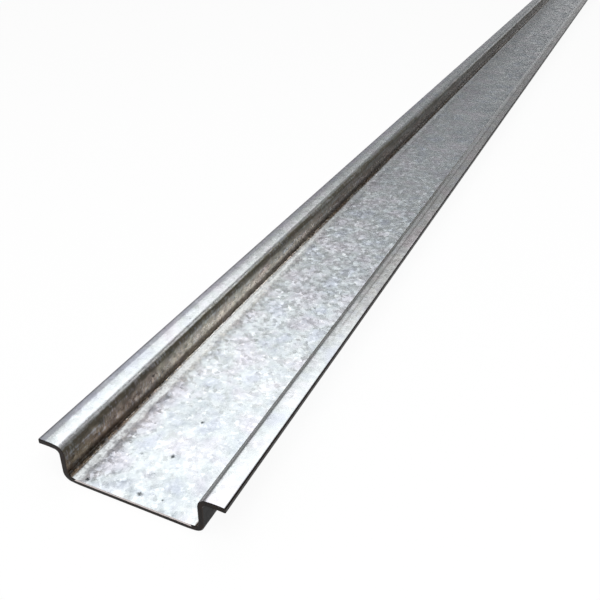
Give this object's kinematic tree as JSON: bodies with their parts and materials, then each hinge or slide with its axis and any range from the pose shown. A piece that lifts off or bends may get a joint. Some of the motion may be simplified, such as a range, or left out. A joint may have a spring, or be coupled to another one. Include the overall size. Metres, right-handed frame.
{
  "type": "din rail",
  "caption": "Plain top-hat mounting rail, 35 mm wide and 7.5 mm high, in 1 mm galvanised steel without slots, for clip-on terminals and breakers.",
  "frame": {"origin": "middle of the back face, which lies on the mounting plate", "axes": "+X along the rail, +Y across it, +Z out of the open channel towards the clipped-on devices"},
  "size_m": [1, 0.035, 0.0075],
  "materials": {
    "galvanised_steel": "galvanised, fine spangle"
  },
  "bodies": {
    "root": {"rail": "galvanised_steel"}
  },
  "joints": []
}
